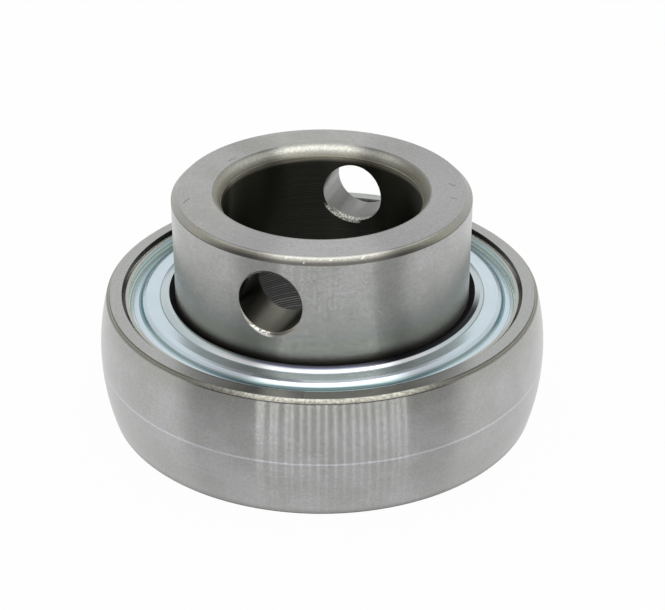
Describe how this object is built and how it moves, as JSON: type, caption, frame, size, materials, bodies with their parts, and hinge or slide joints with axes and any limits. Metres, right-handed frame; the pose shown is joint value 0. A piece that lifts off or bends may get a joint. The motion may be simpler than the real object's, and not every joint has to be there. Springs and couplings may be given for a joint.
{
  "type": "insert bearing",
  "caption": "Sealed ball bearing with a spherical outer ring and a long inner ring collar that has aligned cross holes for a through bolt.",
  "frame": {"origin": "centre of the outside sphere, on the bearing's axis, in the plane of the ball centres", "axes": "+Z along the bore towards the collar, -Y towards the viewer of the picture; the cross holes run along a line turned 19 degrees about Z from the Y axis"},
  "size_m": [0.072, 0.072, 0.0377],
  "materials": {
    "ring_steel": "ground, fine lines around the axis",
    "ball_steel": "polished",
    "cage_steel": "pressed, satin",
    "zinc_plate": "zinc plated, blue-clear, semi-gloss",
    "seal_rubber": "moulded, matte black",
    "washer_steel": "plain sheet"
  },
  "bodies": {
    "outer": {"outer_ring": "ring_steel", "seal_cover_top": "zinc_plate", "seal_lip_top": "seal_rubber", "seal_backing_top": "washer_steel", "seal_cover_bottom": "zinc_plate", "seal_lip_bottom": "seal_rubber", "seal_backing_bottom": "washer_steel"},
    "inner": {"inner_ring": "ring_steel"},
    "cage": {"cage_upper_half": "cage_steel", "cage_lower_half": "cage_steel", "cage_rivet_1": "cage_steel", "cage_rivet_2": "cage_steel", "cage_rivet_3": "cage_steel", "cage_rivet_4": "cage_steel", "cage_rivet_5": "cage_steel", "cage_rivet_6": "cage_steel", "cage_rivet_7": "cage_steel", "cage_rivet_8": "cage_steel", "cage_rivet_9": "cage_steel"},
    "rolling_ball_1": {"ball_1": "ball_steel"},
    "rolling_ball_2": {"ball_2": "ball_steel"},
    "rolling_ball_3": {"ball_3": "ball_steel"},
    "rolling_ball_4": {"ball_4": "ball_steel"},
    "rolling_ball_5": {"ball_5": "ball_steel"},
    "rolling_ball_6": {"ball_6": "ball_steel"},
    "rolling_ball_7": {"ball_7": "ball_steel"},
    "rolling_ball_8": {"ball_8": "ball_steel"},
    "rolling_ball_9": {"ball_9": "ball_steel"}
  },
  "joints": [
    {"name": "inner_spin", "type": "hinge", "parent": "outer", "child": "inner", "pos_m": [0, 0, 0], "axis": [0, 0, 1], "continuous": true},
    {"name": "cage_orbit", "type": "hinge", "parent": "outer", "child": "cage", "pos_m": [0, 0, 0], "axis": [0, 0, 1], "continuous": true},
    {"name": "ball_1_spin", "type": "hinge", "parent": "cage", "child": "rolling_ball_1", "pos_m": [0.02675, 0, 0], "axis": [0, 0, 1], "continuous": true},
    {"name": "ball_2_spin", "type": "hinge", "parent": "cage", "child": "rolling_ball_2", "pos_m": [0.02049, 0.01719, 0], "axis": [0, 0, 1], "continuous": true},
    {"name": "ball_3_spin", "type": "hinge", "parent": "cage", "child": "rolling_ball_3", "pos_m": [0.00465, 0.02634, 0], "axis": [0, 0, 1], "continuous": true},
    {"name": "ball_4_spin", "type": "hinge", "parent": "cage", "child": "rolling_ball_4", "pos_m": [-0.01337, 0.02317, 0], "axis": [0, 0, 1], "continuous": true},
    {"name": "ball_5_spin", "type": "hinge", "parent": "cage", "child": "rolling_ball_5", "pos_m": [-0.02514, 0.00915, 0], "axis": [0, 0, 1], "continuous": true},
    {"name": "ball_6_spin", "type": "hinge", "parent": "cage", "child": "rolling_ball_6", "pos_m": [-0.02514, -0.00915, 0], "axis": [0, 0, 1], "continuous": true},
    {"name": "ball_7_spin", "type": "hinge", "parent": "cage", "child": "rolling_ball_7", "pos_m": [-0.01337, -0.02317, 0], "axis": [0, 0, 1], "continuous": true},
    {"name": "ball_8_spin", "type": "hinge", "parent": "cage", "child": "rolling_ball_8", "pos_m": [0.00465, -0.02634, 0], "axis": [0, 0, 1], "continuous": true},
    {"name": "ball_9_spin", "type": "hinge", "parent": "cage", "child": "rolling_ball_9", "pos_m": [0.02049, -0.01719, 0], "axis": [0, 0, 1], "continuous": true}
  ],
  "couplings": [
    {"joint": "cage_orbit", "follows": "inner_spin", "ratio": 0.39615},
    {"joint": "ball_1_spin", "follows": "inner_spin", "ratio": -2.3035},
    {"joint": "ball_2_spin", "follows": "inner_spin", "ratio": -2.3035},
    {"joint": "ball_3_spin", "follows": "inner_spin", "ratio": -2.3035},
    {"joint": "ball_4_spin", "follows": "inner_spin", "ratio": -2.3035},
    {"joint": "ball_5_spin", "follows": "inner_spin", "ratio": -2.3035},
    {"joint": "ball_6_spin", "follows": "inner_spin", "ratio": -2.3035},
    {"joint": "ball_7_spin", "follows": "inner_spin", "ratio": -2.3035},
    {"joint": "ball_8_spin", "follows": "inner_spin", "ratio": -2.3035},
    {"joint": "ball_9_spin", "follows": "inner_spin", "ratio": -2.3035}
  ]
}
